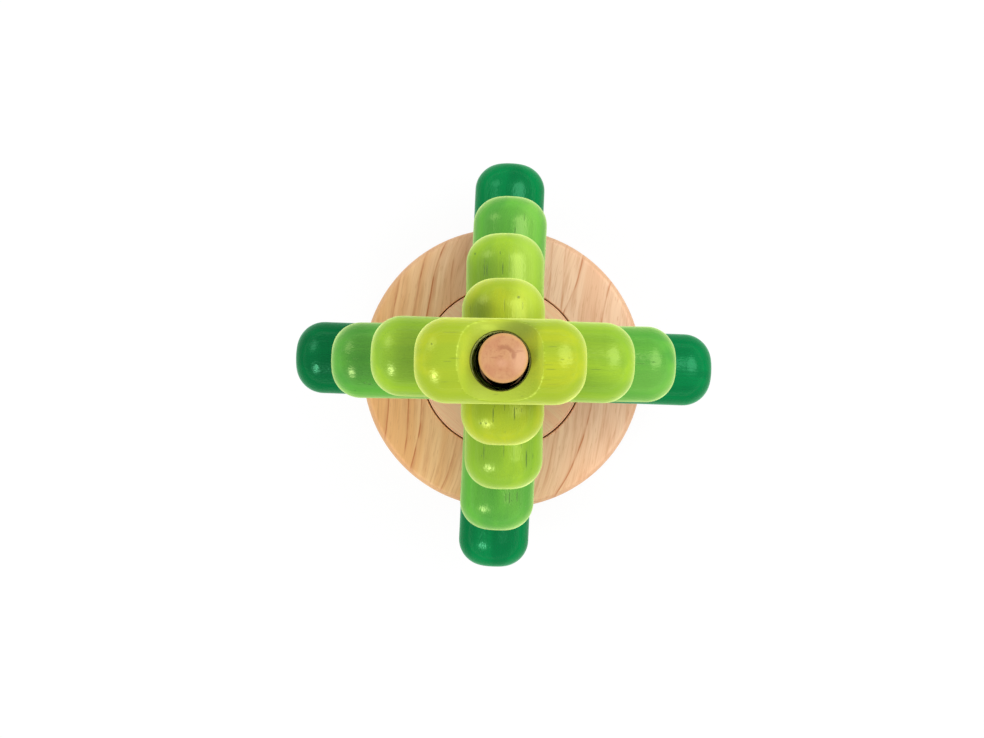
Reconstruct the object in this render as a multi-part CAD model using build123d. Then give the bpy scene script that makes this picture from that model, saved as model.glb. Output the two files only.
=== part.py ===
from build123d import *
import math
import os

# A wooden stacking tree. Round dowels lie crosswise on each other, longest pair at the bottom, and
# all of them thread on to one post that stands in a round base. Each dowel has a bore through its
# middle for the post and a round saddle across its top, in which the next dowel lies.
# Millimetres. The origin is the centre of the base's underside, +Z runs up along the post, the
# lowest branch runs along Y and the next one up along X.

# Branches
dowel_diameter = 30.0
shortest_branch = 60.0
pair_length_step = 38.0
pair_count = 4
end_rounding = 11.5
saddle_depth = 10.3
bore_diameter = 20.5
bore_edge_rounding = 0.5
saddle_edge_rounding = 0.6

# Post
post_diameter = 17.0
post_below_crest = 1.0
post_top_rounding = 1.2
post_foot_chamfer = 1.0

# Base and the hub let into it
base_diameter = 124.0
base_thickness = 18.0
base_top_rounding = 2.5
base_foot_rounding = 1.2
hub_diameter = 71.0
hub_recess_depth = 8.0
hub_stands_proud = 1.2
hub_edge_rounding = 1.0
recess_edge_rounding = 0.4
post_floor = 5.0

# Clearances
seat_gap = 0.3
saddle_play = 0.7
glue_gap = 0.1
hub_joint_gap = 0.6

# How each branch happens to lie, from the lowest up, as shares of the play that it has:
# slid along itself by the play in its bore, shifted across and turned by the play in its saddle.
# A positive turn is anticlockwise from above, counted from the branch below.
rest_slides = [0.60, 0.23, 0.47, 0.17, 0.37, -0.06, -0.29, -0.54]
rest_shifts = [-0.41, 0.0, -0.07, -0.14, 0.43, 0.25, 0.15, -0.45]
rest_turns = [-0.43, 0.27, -0.31, 0.73, 0.12, -0.54, 0.53, -0.14]

# Worked out from the sizes above
dowel_radius = dowel_diameter / 2
saddle_radius = dowel_radius + saddle_play
saddle_height = dowel_radius - saddle_depth + saddle_radius
branch_count = 2 * pair_count
branch_pitch = dowel_diameter - saddle_depth + seat_gap
bore_play = (bore_diameter - post_diameter) / 2
turn_play = math.degrees(math.atan(saddle_play / dowel_radius))
hub_top = base_thickness + hub_stands_proud
first_axis_height = hub_top + seat_gap + dowel_radius
post_top = first_axis_height + (branch_count - 1) * branch_pitch + dowel_radius - post_below_crest


def upright_cylinder(diameter, bottom, top):
    """A cylinder about the post's axis, from one height to another."""
    return Pos(0, 0, (bottom + top) / 2) * Cylinder(diameter / 2, top - bottom)


def edges_at_height(solid, height):
    """The edges that lie flat at one height."""
    return solid.edges().filter_by_position(Axis.Z, height - 0.001, height + 0.001)


def branch(length):
    """One branch along X with its axis at the origin: rounded dowel, cross saddle and bore."""
    dowel = Rot(0, 90, 0) * Cylinder(dowel_radius, length)
    dowel = fillet(dowel.edges().filter_by(GeomType.CIRCLE), end_rounding)
    cutter_length = 2 * dowel_diameter
    saddle = Pos(0, 0, saddle_height) * Rot(90, 0, 0) * Cylinder(saddle_radius, cutter_length)
    saddled = dowel - saddle
    saddled = fillet(saddle_rim(saddled), saddle_edge_rounding)
    bored = saddled - upright_cylinder(bore_diameter, -dowel_diameter, dowel_diameter)
    return fillet(bore_rims(bored), bore_edge_rounding)


def saddle_rim(solid):
    """The edges where the saddle runs out on the dowel's round top."""
    reach = dowel_radius + saddle_play
    return [
        edge
        for edge in solid.edges()
        if edge.bounding_box().min.Z > 0 and abs(edge.bounding_box().max.X) < reach
    ]


def bore_rims(solid):
    """The edges at the two mouths of the bore."""
    radius = bore_diameter / 2
    return [
        edge
        for edge in solid.edges()
        if abs(math.hypot((edge @ 0.5).X, (edge @ 0.5).Y) - radius) < 0.01
        and abs(edge.tangent_at(0.5).Z) < 0.9
    ]


def branch_length(number):
    """Length of a branch, counted from 1 at the bottom; both of a pair are alike."""
    pairs_above = pair_count - 1 - (number - 1) // 2
    return shortest_branch + pairs_above * pair_length_step


def branch_places():
    """Where each branch rests, from the lowest up: its centre and its heading from the X axis."""
    places = []
    turn = 0.0
    below = 0.0
    for index in range(branch_count):
        runs_along_y = index % 2 == 0
        slide = rest_slides[index] * bore_play
        across = below + rest_shifts[index] * saddle_play
        turn += rest_turns[index] * turn_play
        height = first_axis_height + index * branch_pitch
        centre = (across, slide, height) if runs_along_y else (slide, across, height)
        heading = turn + (90 if runs_along_y else 0)
        places.append((centre, heading))
        below = slide
    return places


def base_disc():
    """The base: a turned disc with a recess for the hub and a blind bore for the post."""
    disc = upright_cylinder(base_diameter, 0, base_thickness)
    disc = fillet(edges_at_height(disc, base_thickness), base_top_rounding)
    disc = fillet(edges_at_height(disc, 0), base_foot_rounding)
    recess_floor = base_thickness - hub_recess_depth
    recess_diameter = hub_diameter + 2 * hub_joint_gap
    disc -= upright_cylinder(recess_diameter, recess_floor, base_thickness + 1)
    mouth = edges_at_height(disc, base_thickness).sort_by(SortBy.LENGTH)[0]
    disc = fillet(mouth, recess_edge_rounding)
    return disc - upright_cylinder(post_diameter + 2 * glue_gap, post_floor, base_thickness)


def base_hub():
    """The hub: a disc in the recess, slightly proud of it, bored for the post."""
    hub = upright_cylinder(hub_diameter, base_thickness - hub_recess_depth, hub_top)
    hub = fillet(edges_at_height(hub, hub_top), hub_edge_rounding)
    return hub - upright_cylinder(post_diameter + 2 * glue_gap, 0, hub_top + 1)


def trunk_post():
    """The post, from the floor of its bore to just under the crest of the top branch."""
    post = upright_cylinder(post_diameter, post_floor, post_top)
    post = chamfer(edges_at_height(post, post_floor), post_foot_chamfer)
    return fillet(edges_at_height(post, post_top), post_top_rounding)


os.makedirs("parts", exist_ok=True)
export_step(base_disc(), "parts/base_disc.step")
export_step(base_hub(), "parts/base_hub.step")
export_step(trunk_post(), "parts/trunk_post.step")
for number, (centre, heading) in enumerate(branch_places(), start=1):
    placed = Pos(*centre) * Rot(0, 0, heading) * branch(branch_length(number))
    export_step(placed, f"parts/branch_{number}.step")
    print(f"branch_{number}", "centre", [round(value, 2) for value in centre], "heading", round(heading, 2))
print("post top", round(post_top, 2), "pitch", round(branch_pitch, 2))
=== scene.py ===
import math

import bpy
import numpy as np
from mathutils import Matrix, Vector


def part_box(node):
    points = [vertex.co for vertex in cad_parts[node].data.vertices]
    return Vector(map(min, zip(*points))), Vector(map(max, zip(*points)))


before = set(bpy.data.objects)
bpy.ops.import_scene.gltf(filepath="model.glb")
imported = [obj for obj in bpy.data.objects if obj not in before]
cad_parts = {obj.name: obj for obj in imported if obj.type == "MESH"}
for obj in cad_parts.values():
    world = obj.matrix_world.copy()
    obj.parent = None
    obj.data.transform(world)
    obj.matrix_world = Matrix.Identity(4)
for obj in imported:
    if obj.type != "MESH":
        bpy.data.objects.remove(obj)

# A wooden stacking tree, seen from straight above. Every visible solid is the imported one. This
# script gives each its wood or stain, and makes the camera, the lamps, the floor and the world.
# Objects are in metres in the frame's axes; textures work in millimetres along and across the grain.

MM = 0.001

# Camera, as fitted to the photograph, its turns in degrees
IMAGE_WIDTH = 984
CAMERA_PLACE = Vector((-1.02, -14.57, 748.3)) * MM
CAMERA_TILT_X = -1.094
CAMERA_TILT_Y = -0.279
CAMERA_ROLL = -1.540
FOCAL_LENGTH_PIXELS = 1647.4
SENSOR_WIDTH = 36.0
NEAREST_SEEN = 0.01
FURTHEST_SEEN = 20.0

# Lamps: azimuth from +X towards +Y and elevation in degrees, distance and size in metres, watts
LOOK_AT = Vector((0, 0, 0.1))
LAMPS = {
    "key_softbox": {"azimuth": 24, "elevation": 52, "distance": 0.45, "size": (0.34, 0.30), "power": 0.85},
    "small_fill": {"azimuth": -136, "elevation": 36, "distance": 0.40, "size": (0.10, 0.10), "power": 0.45},
    "weak_fill": {"azimuth": 145, "elevation": 28, "distance": 0.40, "size": (0.16, 0.16), "power": 0.16},
}

# Soft light from the world, overhead, at the horizon and how much more of it comes from the right,
# how bright the world mirrors overhead, and the heights from 0 to 1 where the overhead values start
AMBIENT_OVERHEAD = 1.30
AMBIENT_HORIZON = 0.80
AMBIENT_FROM_RIGHT = 0.2
AMBIENT_OVERHEAD_FROM = 0.5
MIRRORED_OVERHEAD = 0.03
MIRRORED_OVERHEAD_FROM = 0.2

# Floor: its side in metres, how pale it is in the light, and how much of it is shown as plain white
FLOOR_SIDE = 6.0
FLOOR_ALBEDO = 0.80
FLOOR_WHITE_SHARE = 0.92


def srgb(red, green, blue):
    """A colour from 0-255 screen values as a linear RGBA."""
    def linear(value):
        value /= 255
        return value / 12.92 if value <= 0.04045 else ((value + 0.055) / 1.055) ** 2.4
    return (linear(red), linear(green), linear(blue), 1.0)


# Stains, one for each pair of branches, from the lowest up. The pore_and_shade colour is that of pores and
# knots and also paints shade in the dark patches. The edge colour is that of thin stain on
# edges and also paints light in the pale patches, on the saddle's wall and partly as highlight on its rim.
# Gloss tints highlights and sheen, and sheen is how strong the pale sheen at the outline is.
STAINS = {
    "dark_green_stain": {
        "body": srgb(0, 118, 60),
        "streak": srgb(0, 103, 53),
        "pore_and_shade": srgb(0, 48, 24),
        "edge": srgb(20, 140, 80),
        "gloss": srgb(120, 236, 180),
        "sheen": 0.35,
    },
    "mid_green_stain": {
        "body": srgb(88, 161, 55),
        "streak": srgb(72, 145, 54),
        "pore_and_shade": srgb(24, 80, 36),
        "edge": srgb(180, 230, 100),
        "gloss": srgb(232, 255, 165),
        "sheen": 1.0,
    },
    "lime_green_stain": {
        "body": srgb(138, 174, 42),
        "streak": srgb(120, 160, 44),
        "pore_and_shade": srgb(46, 88, 40),
        "edge": srgb(204, 232, 96),
        "gloss": srgb(238, 255, 160),
        "sheen": 1.0,
    },
    "yellow_green_stain": {
        "body": srgb(157, 170, 34),
        "streak": srgb(139, 161, 38),
        "pore_and_shade": srgb(68, 88, 40),
        "edge": srgb(210, 232, 90),
        "gloss": srgb(242, 255, 145),
        "sheen": 1.0,
    },
}
BRANCH_STAINS = [name for name in STAINS for _ in range(2)]
# Painted shade of the deep bore: a brown wall and a darker rounded mouth that stand in for the dark gap
# round the post
BORE_WALL_SHADE = srgb(80, 60, 38)
BORE_MOUTH_SHADE = srgb(30, 22, 14)
SHEEN_ROUGHNESS = 0.36

# How far the noise of one branch is from that of the next
SEED_STEP = 17.0

# Sizes of the solids in millimetres, the saddle's axis above that of its branch
DOWEL_RADIUS = 15.0
SADDLE_RADIUS = 15.7
SADDLE_AXIS_HEIGHT = 20.4
BORE_RADIUS = 10.25
BASE_RADIUS = 62.0
BASE_THICKNESS = 18.0
HUB_RADIUS = 35.5
POST_RADIUS = 8.5

# Relief of every wood in metres, and the gloss of bare wood and how rough its fine grain makes it
RELIEF_DEPTH = 0.0003
BARE_SPECULAR = 0.3
BARE_GRAIN_ROUGHNESS = 0.15

# Long open pores on the branches' tops, each its place along and across the branch from the
# middle in millimetres, its length, and its darkness from 0 to 1
PORE_WIDTH = 0.35
SEEN_PORES = {
    "branch_3": [
        (-54, -3.5, 3.5, 0.5), (-54, -5, 4.5, 0.8), (-53.5, -8, 4, 0.7),
        (52.5, -2, 3.5, 0.7), (58.5, -5.5, 3, 0.5),
    ],
    "branch_4": [(-52, -9.5, 1.5, 0.6), (-54, -9, 1, 0.5), (-58, -12, 1, 0.5), (58, 0.5, 2, 0.4)],
    "branch_5": [
        (34, 8, 5, 0.9), (34, 7, 5, 0.9), (34.5, 1, 5, 0.9), (37.5, 8, 1.5, 0.6), (36.5, -1.5, 7.5, 0.4),
        (40.5, 2, 1.5, 0.7), (-34.5, 7.5, 6, 0.6), (-33.5, 0, 6, 0.5), (-31.5, -6.5, 3, 0.5),
        (-37, -8.5, 7, 0.9), (-36, -11, 2, 0.4),
    ],
    "branch_7": [
        (19.5, -7, 3, 0.6), (18.5, 11.5, 4, 0.6), (19.5, -0.5, 5, 0.4), (-18.5, 3.5, 4, 0.9),
        (-21, 3.5, 1.5, 0.6), (-18.5, -4, 4.5, 0.9), (-16.5, -0.5, 2.5, 0.5), (-16, 3, 1, 0.5),
        (-17.5, -6.5, 1.5, 0.4),
    ],
    "branch_8": [
        (-17, 9.5, 6, 0.3), (-15.5, 0.5, 4, 0.3), (-18, -0.5, 3, 0.3), (-19, -7.5, 3, 0.2),
        (17, -3, 3.5, 0.4), (16, -1.5, 4, 0.2), (15.5, -6.5, 4, 0.2), (18, -8, 5, 0.2),
        (-1.5, -11.5, 2, 0.4), (7.5, -12, 1, 0.4),
    ],
}

# Other marks in the same terms, with a width after the length: small knots, and broad soft patches
# of painted shade and painted light, darker or paler than the rest. Spots reach through the wood, by their
# depth.
SPOT_DEPTH = 200.0
SEEN_KNOTS = {
    "branch_5": [(40.5, 11.5, 1, 0.8, 0.6)],
    "branch_7": [(22.5, -5.5, 1, 1, 1.0), (-22, 8, 0.8, 0.8, 0.5), (-22, 6, 0.8, 0.8, 0.5)],
    "branch_8": [(-23.5, 5.5, 0.6, 0.6, 0.6)],
}
# Painted shade: darker patches where shadows and slopes turned from the lamps darken the tops
SEEN_PAINTED_SHADE = {
    "branch_2": [(-78, 4, 60, 50, 0.4)],
    "branch_4": [(-57, 4, 16, 22, 0.4)],
    "branch_5": [(33, 6, 15, 18, 0.35)],
    "branch_6": [(-34.5, 3, 12, 20, 0.3)],
    "branch_7": [(18, 8, 9, 9, 0.5)],
    "branch_8": [(6, 10.5, 12, 7, 0.55), (11.5, 0, 5, 16, 0.1)],
}
# Painted light: paler patches where the lamps light the flanks, and a painted highlight in branch_8's
# saddle
SEEN_PAINTED_LIGHT = {
    "branch_3": [(54, -8, 32, 10, 0.15), (-54, -8, 30, 10, 0.05)],
    "branch_4": [(57, -7, 30, 12, 0.1)],
    "branch_5": [(36, -8, 28, 10, 0.25)],
    "branch_7": [(21, -8, 16, 9, 0.25)],
    "branch_8": [(-11, 3, 6, 14, 0.25), (-4, 11.5, 7, 2.4, 0.3)],
}


# Node building

# Where a Mix node has its share, its two colours and its result
MIX_SHARE, MIX_FIRST, MIX_SECOND = 0, 6, 7
MIX_RESULT = 2


def add(tree, kind, inputs=None, **settings):
    """A new node with its settings made and its inputs set to numbers or joined to sockets."""
    node = tree.nodes.new(kind)
    for name, value in settings.items():
        setattr(node, name, value)
    for key, value in (inputs or {}).items():
        if isinstance(value, bpy.types.NodeSocket):
            tree.links.new(value, node.inputs[key])
        else:
            node.inputs[key].default_value = value
    return node


def calc(tree, operation, *values):
    """One step of arithmetic on numbers or sockets."""
    return add(tree, "ShaderNodeMath", dict(enumerate(values)), operation=operation).outputs[0]


def times(tree, first, second):
    """The product of two numbers or sockets."""
    return calc(tree, "MULTIPLY", first, second)


def fade(tree, value, start, end, first=0.0, last=1.0):
    """A smooth change from one number to another while a value runs from start to end."""
    inputs = {"Value": value, "From Min": start, "From Max": end, "To Min": first, "To Max": last}
    return add(tree, "ShaderNodeMapRange", inputs, interpolation_type="SMOOTHSTEP").outputs["Result"]


def mixed(tree, share, first, second):
    """Two colours mixed by a share from 0 to 1."""
    inputs = {MIX_SHARE: share, MIX_FIRST: first, MIX_SECOND: second}
    return add(tree, "ShaderNodeMix", inputs, data_type="RGBA").outputs[MIX_RESULT]


def tinted(tree, colour, tint, value, start, end, most):
    """A colour that takes up a tint while a value runs from start to end, by a share of most there."""
    return mixed(tree, fade(tree, value, start, end, 0.0, most), colour, tint)


def apart(tree, first, second):
    """How far apart two numbers are."""
    return calc(tree, "ABSOLUTE", calc(tree, "SUBTRACT", first, second))


def parts_of(tree, vector):
    """The three parts of a vector."""
    return tuple(add(tree, "ShaderNodeSeparateXYZ", {0: vector}).outputs)


def vector_of(tree, *parts):
    """A vector from up to three parts."""
    return add(tree, "ShaderNodeCombineXYZ", dict(enumerate(parts))).outputs[0]


def length_of(tree, *parts):
    """The length of a vector with up to three parts."""
    vector = vector_of(tree, *parts)
    return add(tree, "ShaderNodeVectorMath", {0: vector}, operation="LENGTH").outputs["Value"]


def grain_space(tree, centre, heading):
    """Millimetres from a centre in metres, the first part along a heading in degrees."""
    inputs = {
        "Vector": add(tree, "ShaderNodeTexCoord").outputs["Object"],
        "Location": centre,
        "Rotation": (0, 0, math.radians(heading)),
        "Scale": (MM, MM, MM),
    }
    return add(tree, "ShaderNodeMapping", inputs, vector_type="TEXTURE").outputs[0]


def stretched(tree, vector, along, across, seed):
    """A vector scaled so that one unit is one feature of this length and width."""
    inputs = {
        "Vector": vector,
        "Location": (seed, 2.3 * seed, 5.1 * seed),
        "Scale": (1 / along, 1 / across, 1 / across),
    }
    return add(tree, "ShaderNodeMapping", inputs).outputs[0]


def noise(tree, vector, along, across, seed, detail=2.0, roughness=0.5):
    """Cloudy noise from 0 to 1, drawn out along the grain."""
    place = stretched(tree, vector, along, across, seed)
    inputs = {"Vector": place, "Scale": 1.0, "Detail": detail, "Roughness": roughness}
    return add(tree, "ShaderNodeTexNoise", inputs).outputs[0]


def sway(tree, vector, along, across, seed, detail=2.0):
    """The same noise about 0, to make straight things wavy."""
    return calc(tree, "SUBTRACT", noise(tree, vector, along, across, seed, detail), 0.5)


def pores(tree, vector, along, across, seed, size, kept):
    """Short dashes along the grain, 1 inside and 0 outside, in a kept share of the cells."""
    inputs = {"Vector": stretched(tree, vector, along, across, seed), "Scale": 1.0}
    cells = add(tree, "ShaderNodeTexVoronoi", inputs)
    chance = parts_of(tree, cells.outputs["Color"])[0]
    dash = fade(tree, cells.outputs["Distance"], 0.6 * size, size, 1.0, 0.0)
    return times(tree, dash, calc(tree, "LESS_THAN", chance, kept))


def spots(tree, vector, places, softness):
    """Oval spots at given places, each as dark as it says and fading out towards its edge."""
    shown = 0.0
    for along, across, length, width, darkness in places:
        half_sizes = (length / 2, width / 2, SPOT_DEPTH / 2)
        inputs = {"Vector": vector, "Location": (along, across, 0), "Scale": half_sizes}
        oval = add(tree, "ShaderNodeMapping", inputs, vector_type="TEXTURE").outputs[0]
        radius = length_of(tree, *parts_of(tree, oval))
        spot = fade(tree, radius, 1 - softness, 1 + softness, darkness, 0.0)
        shown = calc(tree, "MAXIMUM", spot, shown)
    return shown


def relief(tree, height, strength):
    """A bumped normal from a height."""
    inputs = {"Height": height, "Strength": strength, "Distance": RELIEF_DEPTH}
    return add(tree, "ShaderNodeBump", inputs).outputs[0]


def new_material(name):
    """A material with an unjoined Principled shader, its tree and its shader."""
    material = bpy.data.materials.new(name)
    material.use_nodes = True
    tree = material.node_tree
    tree.nodes.clear()
    shader = add(tree, "ShaderNodeBsdfPrincipled")
    add(tree, "ShaderNodeOutputMaterial", {"Surface": shader.outputs[0]})
    return material, tree, shader


def join(tree, shader, colour, roughness, normal):
    """Joins what the grain makes to the shader."""
    tree.links.new(colour, shader.inputs["Base Color"])
    tree.links.new(roughness, shader.inputs["Roughness"])
    tree.links.new(normal, shader.inputs["Normal"])


def dress(node, material):
    """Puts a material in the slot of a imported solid."""
    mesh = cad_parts[node].data
    mesh.materials.clear()
    mesh.materials.append(material)


# Branches

def lie_of(node):
    """Where the middle of a branch's axis is, and its heading from -45 to 135, from its vertices."""
    low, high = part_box(node)
    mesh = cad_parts[node].data
    points = np.zeros(len(mesh.vertices) * 3)
    mesh.vertices.foreach_get("co", points)
    plan = points.reshape(-1, 3)[:, :2]
    along = np.linalg.eigh(np.cov(plan.T))[1][:, 1]
    heading = math.degrees(math.atan2(along[1], along[0]))
    centre = ((low.x + high.x) / 2, (low.y + high.y) / 2, low.z + DOWEL_RADIUS * MM)
    return centre, (heading + 45) % 180 - 45


def saddle(tree, grain):
    """Two masks, 1 along the saddle's rim and 1 on its wall, and both 0 away from them."""
    along, across, up = parts_of(tree, grain)
    from_saddle = length_of(tree, along, calc(tree, "SUBTRACT", up, SADDLE_AXIS_HEIGHT))
    off_saddle = apart(tree, from_saddle, SADDLE_RADIUS)
    off_dowel = apart(tree, length_of(tree, across, up), DOWEL_RADIUS)
    rim = fade(tree, calc(tree, "ADD", off_saddle, off_dowel), 0.2, 0.7, 1.0, 0.0)
    wall = fade(tree, off_saddle, 0.02, 0.2, 1.0, 0.0)
    return rim, wall


def bore(tree, grain):
    """Two masks, 1 on the bore's wall and 1 on the wall and its rounded mouth, and both 0 outside."""
    along, across, _ = parts_of(tree, grain)
    radius = length_of(tree, along, across)
    wall = fade(tree, radius, BORE_RADIUS + 0.01, BORE_RADIUS + 0.05, 1.0, 0.0)
    mouth = fade(tree, radius, BORE_RADIUS + 0.25, BORE_RADIUS + 0.50, 1.0, 0.0)
    return wall, mouth


def scattered_pores(tree, grain, seed):
    """Pores in loose clusters all round a branch, with a few specks."""
    dashes = pores(tree, grain, 16, 1.3, seed, size=0.16, kept=0.5)
    clusters = fade(tree, noise(tree, grain, 20, 6, seed + 1), 0.46, 0.62, 0.0, 0.4)
    specks = pores(tree, grain, 2.4, 1.8, seed + 2, size=0.12, kept=0.03)
    return calc(tree, "MAXIMUM", times(tree, dashes, clusters), specks)


def seen_marks(tree, node, grain, seed):
    """The pores and knots that show on a branch's top, slightly wavy."""
    along, across, up = parts_of(tree, grain)
    wavy_across = calc(tree, "MULTIPLY_ADD", sway(tree, grain, 3, 3, seed), 0.5, across)
    wavy = vector_of(tree, along, wavy_across, up)
    pore_places = [(*place, length, PORE_WIDTH, dark) for *place, length, dark in SEEN_PORES.get(node, [])]
    marks = spots(tree, wavy, pore_places + SEEN_KNOTS.get(node, []), softness=0.3)
    return times(tree, calc(tree, "GREATER_THAN", up, 0.0), marks)


def seen_painted_patches(tree, grain, places):
    """Broad soft patches on a branch's top, for painted shade and painted light."""
    upper = calc(tree, "GREATER_THAN", parts_of(tree, grain)[2], 0.0)
    return times(tree, upper, spots(tree, grain, places, softness=0.7))


def streaked(tree, grain, stain, fine, seed):
    """The stain's body with its broad and fine streaks."""
    broad = noise(tree, grain, 60, 8, seed, detail=1.5)
    colour = mixed(tree, fade(tree, broad, 0.35, 0.65), stain["body"], stain["streak"])
    return tinted(tree, colour, stain["streak"], fine, 0.35, 0.7, most=0.4)


def patched(tree, node, grain, stain, colour, marks, wall):
    """Darkens pores and knots, paints shade in dark patches, and paints light in pale patches and on the
    saddle's wall.
    """
    # patches are painted shade and lights are painted light
    patches = seen_painted_patches(tree, grain, SEEN_PAINTED_SHADE.get(node, []))
    lights = seen_painted_patches(tree, grain, SEEN_PAINTED_LIGHT.get(node, []))
    colour = mixed(tree, calc(tree, "MAXIMUM", patches, times(tree, marks, 0.95)), colour, stain["pore_and_shade"])
    # Painted light: the pale patches and a lighter saddle wall, which the lamps leave in shade
    return mixed(tree, calc(tree, "MAXIMUM", lights, times(tree, wall, 0.15)), colour, stain["edge"])


def worn_rim_and_bore_shade(tree, grain, stain, colour, fine, rim):
    """Lightens the saddle's rim in places, as thin worn stain and as painted highlight, and paints shade on
    the bore's mouth and wall.
    """
    inside, mouth = bore(tree, grain)
    # The rim is partly thin worn stain and partly a painted highlight where the rounded rim catches light
    colour = mixed(tree, times(tree, rim, fade(tree, fine, 0.45, 0.7, 0.0, 0.3)), colour, stain["edge"])
    # Painted shade: the bore's mouth and wall darkened as the dark gap round the post
    colour = mixed(tree, times(tree, mouth, 0.8), colour, BORE_MOUTH_SHADE)
    return mixed(tree, inside, colour, BORE_WALL_SHADE)


def stained_relief(tree, grain, fine, marks, seed):
    """The stain's shallow dimples and fibres, with the pores sunk into it."""
    fibre = noise(tree, grain, 14, 0.3, seed + 2, detail=1)
    dimples = noise(tree, grain, 1.8, 1.0, seed + 3, detail=1)
    height = calc(tree, "MULTIPLY_ADD", fibre, 0.08, times(tree, dimples, 0.4))
    height = calc(tree, "MULTIPLY_ADD", fine, 0.15, height)
    height = calc(tree, "MULTIPLY_ADD", marks, -0.4, height)
    return relief(tree, height, 0.8)


def add_gloss(tree, shader, stain):
    """Tinted gloss that falls off as the surface tilts away, and a pale sheen at the outline."""
    tilt = add(tree, "ShaderNodeLayerWeight", {"Blend": 0.5}).outputs["Facing"]
    tree.links.new(fade(tree, tilt, 0.16, 0.36, 1.0, 0.02), shader.inputs["Specular IOR Level"])
    shader.inputs["Specular Tint"].default_value = stain["gloss"]
    shader.inputs["Sheen Weight"].default_value = stain["sheen"]
    shader.inputs["Sheen Roughness"].default_value = SHEEN_ROUGHNESS
    shader.inputs["Sheen Tint"].default_value = stain["gloss"]


def stained_wood(node, stain_name, seed):
    """Glossy translucent stain over fine straight grain with scattered open pores."""
    stain = STAINS[stain_name]
    material, tree, shader = new_material(f"{stain_name}_{node}")
    grain = grain_space(tree, *lie_of(node))
    fine = noise(tree, grain, 40, 0.9, seed + 1, detail=2)
    scattered = scattered_pores(tree, grain, seed + 4)
    marks = calc(tree, "MAXIMUM", scattered, seen_marks(tree, node, grain, seed + 7))
    rim, wall = saddle(tree, grain)

    colour = streaked(tree, grain, stain, fine, seed)
    colour = patched(tree, node, grain, stain, colour, marks, wall)
    colour = worn_rim_and_bore_shade(tree, grain, stain, colour, fine, rim)
    roughness = calc(tree, "MULTIPLY_ADD", marks, 0.3, calc(tree, "MULTIPLY_ADD", fine, 0.08, 0.23))
    roughness = calc(tree, "MULTIPLY_ADD", wall, 0.25, roughness)
    join(tree, shader, colour, roughness, stained_relief(tree, grain, fine, marks, seed))
    add_gloss(tree, shader, stain)
    return material


# Bare wood

# The base's wood is a pair of colours each time, for its lower left and its upper right: oranger and a
# little darker at the lower left, partly the wood's tone and partly painted shade
BASE_PALE = (srgb(248, 198, 140), srgb(246, 202, 168))
BASE_TAN = (srgb(238, 178, 116), srgb(238, 186, 150))
BASE_BROWN = srgb(200, 130, 82)
BASE_EDGE_GRAIN_AND_SHADE = srgb(192, 150, 112)
LINE_BROWN = srgb(196, 110, 60)
HUB_PALE = srgb(255, 208, 162)
HUB_TAN = srgb(255, 194, 150)
HUB_BROWN = srgb(196, 122, 88)
HUB_POST_SHADE = srgb(72, 50, 32)
HUB_RIM_SHADE = srgb(180, 122, 84)
POST_PALE = srgb(174, 128, 88)
POST_TAN = srgb(168, 116, 80)
POST_BROWN = srgb(120, 56, 34)
POST_LIGHT = srgb(204, 160, 128)
POST_EDGE = srgb(192, 146, 84)

# Growth lines of the base, drawn from the top: points in millimetres that each passes through,
# its darkness, and the width of the soft shade beside it, on its right where that is positive
GROWTH_LINES = [
    ([(-47, 38), (-49, 22), (-50, -17), (-51.5, -32)], 0.75, -2.6),
    ([(-35, 49), (-40, 23), (-41, -20), (-42, -36)], 0.80, 1.2),
    ([(-26.5, 54), (-34, 24), (-35, -18), (-39.5, -45)], 0.95, 2.4),
    ([(-22.5, 47), (-23.5, 20), (-19, -25), (-26, -55)], 0.60, 1.5),
    ([(-17, 58), (-17, 40), (-16, -40)], 0.30, 2.0),
    ([(-8, 60), (-9, 30), (-9, -30), (-12, -60)], 0.30, -2.0),
    ([(5, 60), (4, 30), (3, -30), (-1, -60)], 0.35, 2.0),
    ([(21, 58), (20, 44), (16, -30), (10, -60)], 0.35, -2.0),
    ([(27, 56), (25.5, 40), (24, -31), (20, -50)], 0.40, 1.2),
    ([(34, 50), (31, 37.5), (26.5, 25.5), (22.5, 5)], 0.75, 1.6),
    ([(47, 41), (43, 23.5), (40, -17), (33, -40), (25, -56)], 0.85, -1.6),
    ([(55, 30), (54, 10), (53, -15), (50, -30)], 0.35, 1.5),
]

# Half a line's width, how far it fades beyond and within its ends, and how dark its shade is
LINE_HALF_WIDTH = 0.55
LINE_FADE_OUT = 6
LINE_FADE_IN = 2
SHADE_SHARE = 0.45

# Headings of the grain from the X axis in degrees, and how the base's leans, waves and bends outwards
BASE_GRAIN_HEADING = 90
HUB_GRAIN_HEADING = -40
GRAIN_SLANT = 0.35
GRAIN_WAVE = 3.0
GRAIN_BEND = 4.0e-5


def growth_mark(tree, across, along, line):
    """How dark one growth line makes the wood: a thin line with a soft shade on one side."""
    points, darkness, shade = line
    over, up = zip(*points)
    curve = 0.0
    for factor in np.polyfit(up, over, min(3, len(points) - 1)):
        curve = calc(tree, "MULTIPLY_ADD", curve, along, float(factor))
    beside = calc(tree, "SUBTRACT", across, curve)
    thin = fade(tree, calc(tree, "ABSOLUTE", beside), 0.1, LINE_HALF_WIDTH, 1.0, 0.0)
    side = calc(tree, "DIVIDE", beside, shade)
    soft = fade(tree, side, 0.0, 1.0, SHADE_SHARE, 0.0)
    soft = times(tree, soft, calc(tree, "GREATER_THAN", side, 0.0))
    foot = fade(tree, along, min(up) - LINE_FADE_OUT, min(up) + LINE_FADE_IN)
    head = fade(tree, along, max(up) - LINE_FADE_IN, max(up) + LINE_FADE_OUT, 1.0, 0.0)
    mark = times(tree, calc(tree, "MAXIMUM", thin, soft), darkness)
    return times(tree, times(tree, foot, head), mark)


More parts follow.
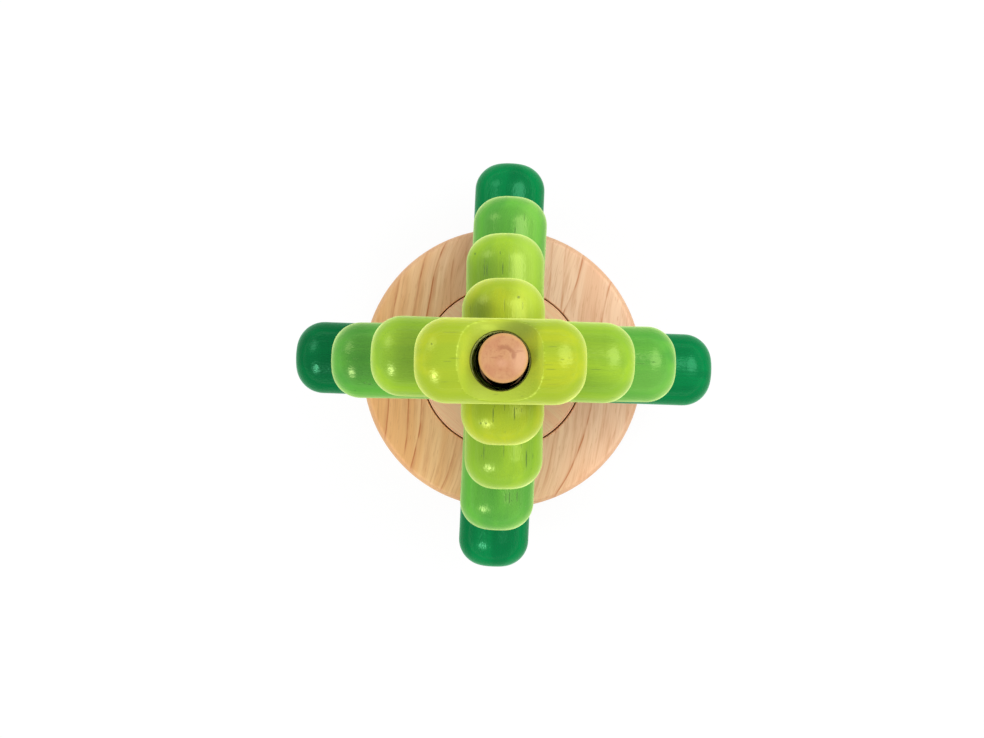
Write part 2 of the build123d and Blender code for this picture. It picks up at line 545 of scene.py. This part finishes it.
def finish_bare(tree, shader, colour, fine, plain_roughness, height, strength):
    """Joins a bare wood's colour and relief, under a thin clear lacquer."""
    roughness = calc(tree, "MULTIPLY_ADD", fine, BARE_GRAIN_ROUGHNESS, plain_roughness)
    join(tree, shader, colour, roughness, relief(tree, height, strength))
    shader.inputs["Specular IOR Level"].default_value = BARE_SPECULAR


def base_grain(tree):
    """The base's grain space, the distance across its leaning wavy grain, and that grain bent too."""
    grain = grain_space(tree, (0, 0, BASE_THICKNESS * MM), BASE_GRAIN_HEADING)
    along, left, up = parts_of(tree, grain)
    leaning = calc(tree, "MULTIPLY_ADD", up, GRAIN_SLANT, calc(tree, "SUBTRACT", 0.0, left))
    across = calc(tree, "MULTIPLY_ADD", sway(tree, grain, 26, 60, 11.0, detail=1.5), GRAIN_WAVE, leaning)
    cube = times(tree, times(tree, along, along), along)
    bent = vector_of(tree, along, calc(tree, "MULTIPLY_ADD", cube, -GRAIN_BEND, across), up)
    return grain, across, bent


def base_body(tree, along, across, bent, fine):
    """The base's pale wood with broad and fine grain, oranger and a little darker towards the lower left,
    partly as painted shade.
    """
    upper_right = fade(tree, calc(tree, "MULTIPLY_ADD", along, 0.45, across), -60, 40)
    pale = mixed(tree, upper_right, *BASE_PALE)
    tan = mixed(tree, upper_right, *BASE_TAN)
    broad = noise(tree, bent, 100, 7, 3.0, detail=2)
    colour = mixed(tree, fade(tree, broad, 0.35, 0.65), pale, tan)
    return tinted(tree, colour, BASE_BROWN, fine, 0.45, 0.75, most=0.4)


def base_wood():
    """Pale straight-grained wood with long thin growth lines, and a browner turned rim that is partly end
    grain and partly painted shade.
    """
    material, tree, shader = new_material("pale_wood")
    grain, across, bent = base_grain(tree)
    along, left, _ = parts_of(tree, grain)
    fine = noise(tree, bent, 17, 1.4, 4.0, detail=3)
    fibre = noise(tree, bent, 12, 0.35, 5.0, detail=1)
    flecks = pores(tree, bent, 7, 0.9, 6.0, size=0.22, kept=0.6)

    colour = base_body(tree, along, across, bent, fine)
    colour = tinted(tree, colour, BASE_BROWN, fibre, 0.45, 0.8, most=0.25)
    colour = mixed(tree, times(tree, flecks, 0.32), colour, BASE_BROWN)
    broken = fade(tree, noise(tree, bent, 9, 2.5, 7.0), 0.35, 0.58, 0.45, 1.0)
    for line in GROWTH_LINES:
        mark = growth_mark(tree, across, along, line)
        colour = mixed(tree, times(tree, mark, broken), colour, LINE_BROWN)
    # Painted shade: the turned rim browner to tone down the light its outward rounding catches, with some
    # end grain there
    radius = length_of(tree, along, left)
    colour = tinted(tree, colour, BASE_EDGE_GRAIN_AND_SHADE, radius, BASE_RADIUS - 2.4, BASE_RADIUS - 0.8, most=0.65)

    height = calc(tree, "MULTIPLY_ADD", fibre, 0.4, times(tree, fine, 0.6))
    height = calc(tree, "MULTIPLY_ADD", flecks, -0.6, height)
    finish_bare(tree, shader, colour, fine, 0.42, height, strength=0.15)
    return material


def hub_wood():
    """The hub's pinkish wood, its grain on the diagonal, with painted shade on its rounded rim and in a
    ring round the post.
    """
    material, tree, shader = new_material("hub_wood")
    grain = grain_space(tree, (0, 0, BASE_THICKNESS * MM), HUB_GRAIN_HEADING)
    broad = noise(tree, grain, 70, 6, 31.0, detail=2)
    fine = noise(tree, grain, 25, 0.9, 32.0, detail=3)
    fibre = noise(tree, grain, 8, 0.3, 33.0, detail=1)
    flecks = pores(tree, grain, 6, 0.8, 34.0, size=0.22, kept=0.5)

    colour = mixed(tree, fade(tree, broad, 0.35, 0.65), HUB_PALE, HUB_TAN)
    colour = tinted(tree, colour, HUB_TAN, fine, 0.38, 0.72, most=0.8)
    colour = tinted(tree, colour, HUB_BROWN, fibre, 0.5, 0.85, most=0.2)
    colour = mixed(tree, times(tree, flecks, 0.2), colour, HUB_BROWN)
    along, across, _ = parts_of(tree, grain)
    radius = length_of(tree, along, across)
    # Painted shade: a dark ring round the post, seen through the gap under the lowest branch
    post_shade = fade(tree, radius, POST_RADIUS + 0.5, POST_RADIUS + 5.5, 0.75, 0.0)
    colour = mixed(tree, post_shade, colour, HUB_POST_SHADE)
    # Painted shade: the rounded rim darker, as the shaded joint line round the hub
    edge_starts = fade(tree, radius, HUB_RADIUS - 1.1, HUB_RADIUS - 0.5, 0.0, 0.5)
    edge_ends = fade(tree, radius, HUB_RADIUS - 0.3, HUB_RADIUS - 0.1, 1.0, 0.0)
    colour = mixed(tree, times(tree, edge_starts, edge_ends), colour, HUB_RIM_SHADE)

    height = calc(tree, "MULTIPLY_ADD", fibre, 0.4, times(tree, fine, 0.6))
    finish_bare(tree, shader, colour, fine, 0.42, height, strength=0.2)
    return material


# The post's end grain, in millimetres from its axis: the middle and width of its rings, the dark
# one's radius and where it faces in degrees, and its marks as for the branches
RING_CENTRE = (0.4, 0.4)
RING_WIDTH = 0.55
DARK_RING_RADIUS = 3.2
DARK_RING_FACES = 60.0
END_MARKS = [
    (3.4, 1.0, 1.4, 2.6, 0.7), (-3.2, 0, 2.8, 0.5, 0.4), (-1, 0.6, 2.2, 0.5, 0.35),
    (4, 2, 2, 0.4, 0.5), (5.6, 2.5, 2.4, 0.4, 0.5),
]
END_LIGHTS = [(-0.3, -1.8, 3.6, 2.6, 0.5), (6.0, -0.6, 6.0, 8.0, 0.8)]


def crescent(tree, right, above, radius, wavy):
    """The dark growth ring on the post's end, on one side only."""
    towards = math.radians(DARK_RING_FACES)
    ahead = calc(tree, "MULTIPLY_ADD", above, math.sin(towards), times(tree, right, math.cos(towards)))
    turned = calc(tree, "DIVIDE", ahead, calc(tree, "MAXIMUM", radius, 0.1))
    dark = fade(tree, apart(tree, wavy, DARK_RING_RADIUS), 0.1, 1.2, 0.7, 0.0)
    return times(tree, dark, fade(tree, turned, 0.0, 0.7))


def end_grain(tree, x, y, wave):
    """Three masks on the post's end: its rings, its dark crescent and marks, and its pale patches."""
    end = vector_of(tree, x, y)
    right = calc(tree, "SUBTRACT", x, RING_CENTRE[0])
    above = calc(tree, "SUBTRACT", y, RING_CENTRE[1])
    radius = length_of(tree, right, above)
    wavy = calc(tree, "MULTIPLY_ADD", wave, 1.6, radius)
    rings = fade(tree, calc(tree, "PINGPONG", wavy, RING_WIDTH), 0.1, 0.5)
    dark_ring = crescent(tree, right, above, radius, wavy)
    marks = calc(tree, "MAXIMUM", dark_ring, spots(tree, end, END_MARKS, softness=0.5))
    return rings, marks, spots(tree, end, END_LIGHTS, softness=0.8)


def post_wood():
    """The post: long grain on its side, and rings with a dark crescent and a crack on its end."""
    material, tree, shader = new_material("post_wood")
    x, y, z = parts_of(tree, grain_space(tree, (0, 0, 0), 0))
    upright = vector_of(tree, z, x, y)
    broad = noise(tree, upright, 50, 5, 57.0, detail=2)
    fine = noise(tree, upright, 25, 1.0, 58.0, detail=3)
    speckle = pores(tree, upright, 9, 0.9, 60.0, size=0.22, kept=0.5)
    rings, marks, lights = end_grain(tree, x, y, sway(tree, upright, 40, 2.5, 59.0))

    colour = mixed(tree, fade(tree, broad, 0.35, 0.65), POST_PALE, POST_TAN)
    colour = mixed(tree, times(tree, rings, 0.25), colour, POST_TAN)
    colour = tinted(tree, colour, POST_BROWN, fine, 0.45, 0.8, most=0.25)
    colour = mixed(tree, times(tree, speckle, 0.3), colour, POST_BROWN)
    colour = mixed(tree, times(tree, lights, 0.6), colour, POST_LIGHT)
    colour = mixed(tree, times(tree, marks, 0.65), colour, POST_BROWN)
    radius = length_of(tree, x, y)
    colour = tinted(tree, colour, POST_EDGE, radius, POST_RADIUS - 1.5, POST_RADIUS - 0.3, most=0.5)

    height = calc(tree, "MULTIPLY_ADD", speckle, -0.5, times(tree, fine, 0.6))
    finish_bare(tree, shader, colour, fine, 0.45, height, strength=0.25)
    return material


# Surroundings

def make_world():
    """White where it is seen, dimmer overhead in reflections, and soft light for the rest."""
    world = bpy.data.worlds.new("studio")
    bpy.context.scene.world = world
    world.use_nodes = True
    tree = world.node_tree
    tree.nodes.clear()
    ray = add(tree, "ShaderNodeLightPath").outputs
    right, _, height = parts_of(tree, add(tree, "ShaderNodeTexCoord").outputs["Generated"])
    seen = calc(tree, "MAXIMUM", ray["Is Camera Ray"], ray["Is Transmission Ray"])
    mirrored = fade(tree, height, 0.0, MIRRORED_OVERHEAD_FROM, 1.0, MIRRORED_OVERHEAD)
    mirrored = times(tree, mirrored, ray["Is Glossy Ray"])
    soft = fade(tree, height, 0.0, AMBIENT_OVERHEAD_FROM, AMBIENT_HORIZON, AMBIENT_OVERHEAD)
    soft = times(tree, soft, ray["Is Diffuse Ray"])
    soft = times(tree, soft, calc(tree, "MULTIPLY_ADD", right, AMBIENT_FROM_RIGHT, 1.0))
    strength = calc(tree, "MAXIMUM", calc(tree, "MAXIMUM", seen, mirrored), soft)
    background = add(tree, "ShaderNodeBackground", {"Color": (1, 1, 1, 1), "Strength": strength})
    add(tree, "ShaderNodeOutputWorld", {0: background.outputs[0]})


def make_floor():
    """A white floor that is shown as background white and keeps a faint shadow of the toy."""
    half = FLOOR_SIDE / 2
    corners = [(-half, -half, 0), (half, -half, 0), (half, half, 0), (-half, half, 0)]
    mesh = bpy.data.meshes.new("floor")
    mesh.from_pydata(corners, [], [(0, 1, 2, 3)])
    floor = bpy.data.objects.new("floor", mesh)
    bpy.context.scene.collection.objects.link(floor)
    material = bpy.data.materials.new("white_floor")
    material.use_nodes = True
    tree = material.node_tree
    tree.nodes.clear()
    ray = add(tree, "ShaderNodeLightPath").outputs
    seen = calc(tree, "MAXIMUM", ray["Is Camera Ray"], ray["Is Glossy Ray"])
    seen = calc(tree, "MAXIMUM", seen, ray["Is Transmission Ray"])
    grey = (FLOOR_ALBEDO, FLOOR_ALBEDO, FLOOR_ALBEDO, 1)
    lit = add(tree, "ShaderNodeBsdfDiffuse", {"Color": grey})
    white = add(tree, "ShaderNodeEmission", {"Color": (1, 1, 1, 1), "Strength": 1.0})
    share = times(tree, seen, FLOOR_WHITE_SHARE)
    shown = add(tree, "ShaderNodeMixShader", {0: share, 1: lit.outputs[0], 2: white.outputs[0]})
    add(tree, "ShaderNodeOutputMaterial", {"Surface": shown.outputs[0]})
    mesh.materials.append(material)


def make_lamp(name, azimuth, elevation, distance, size, power):
    """A soft rectangular lamp that faces the toy's middle."""
    around, up = math.radians(azimuth), math.radians(elevation)
    towards = Vector((math.cos(around) * math.cos(up), math.sin(around) * math.cos(up), math.sin(up)))
    light = bpy.data.lights.new(name, "AREA")
    light.shape = "RECTANGLE"
    light.size, light.size_y = size
    light.energy = power
    lamp = bpy.data.objects.new(name, light)
    lamp.location = LOOK_AT + distance * towards
    lamp.rotation_euler = towards.to_track_quat("Z", "Y").to_euler()
    bpy.context.scene.collection.objects.link(lamp)


def make_camera():
    """The camera, which looks almost straight down."""
    to_camera = (
        Matrix.Rotation(math.radians(CAMERA_ROLL), 3, "Z")
        @ Matrix.Rotation(math.radians(CAMERA_TILT_Y), 3, "Y")
        @ Matrix.Rotation(math.radians(CAMERA_TILT_X), 3, "X")
    )
    data = bpy.data.cameras.new("camera")
    data.sensor_fit = "HORIZONTAL"
    data.sensor_width = SENSOR_WIDTH
    data.lens = FOCAL_LENGTH_PIXELS * SENSOR_WIDTH / IMAGE_WIDTH
    data.clip_start = NEAREST_SEEN
    data.clip_end = FURTHEST_SEEN
    camera = bpy.data.objects.new("camera", data)
    camera.matrix_world = Matrix.Translation(CAMERA_PLACE) @ to_camera.transposed().to_4x4()
    bpy.context.scene.collection.objects.link(camera)
    bpy.context.scene.camera = camera


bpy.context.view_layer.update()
bpy.context.scene.view_settings.view_transform = "Standard"
make_camera()
make_world()
make_floor()
for name, settings in LAMPS.items():
    make_lamp(name, **settings)
for number, stain_name in enumerate(BRANCH_STAINS, start=1):
    node = f"branch_{number}"
    dress(node, stained_wood(node, stain_name, seed=SEED_STEP * number))
dress("base_disc", base_wood())
dress("base_hub", hub_wood())
dress("trunk_post", post_wood())
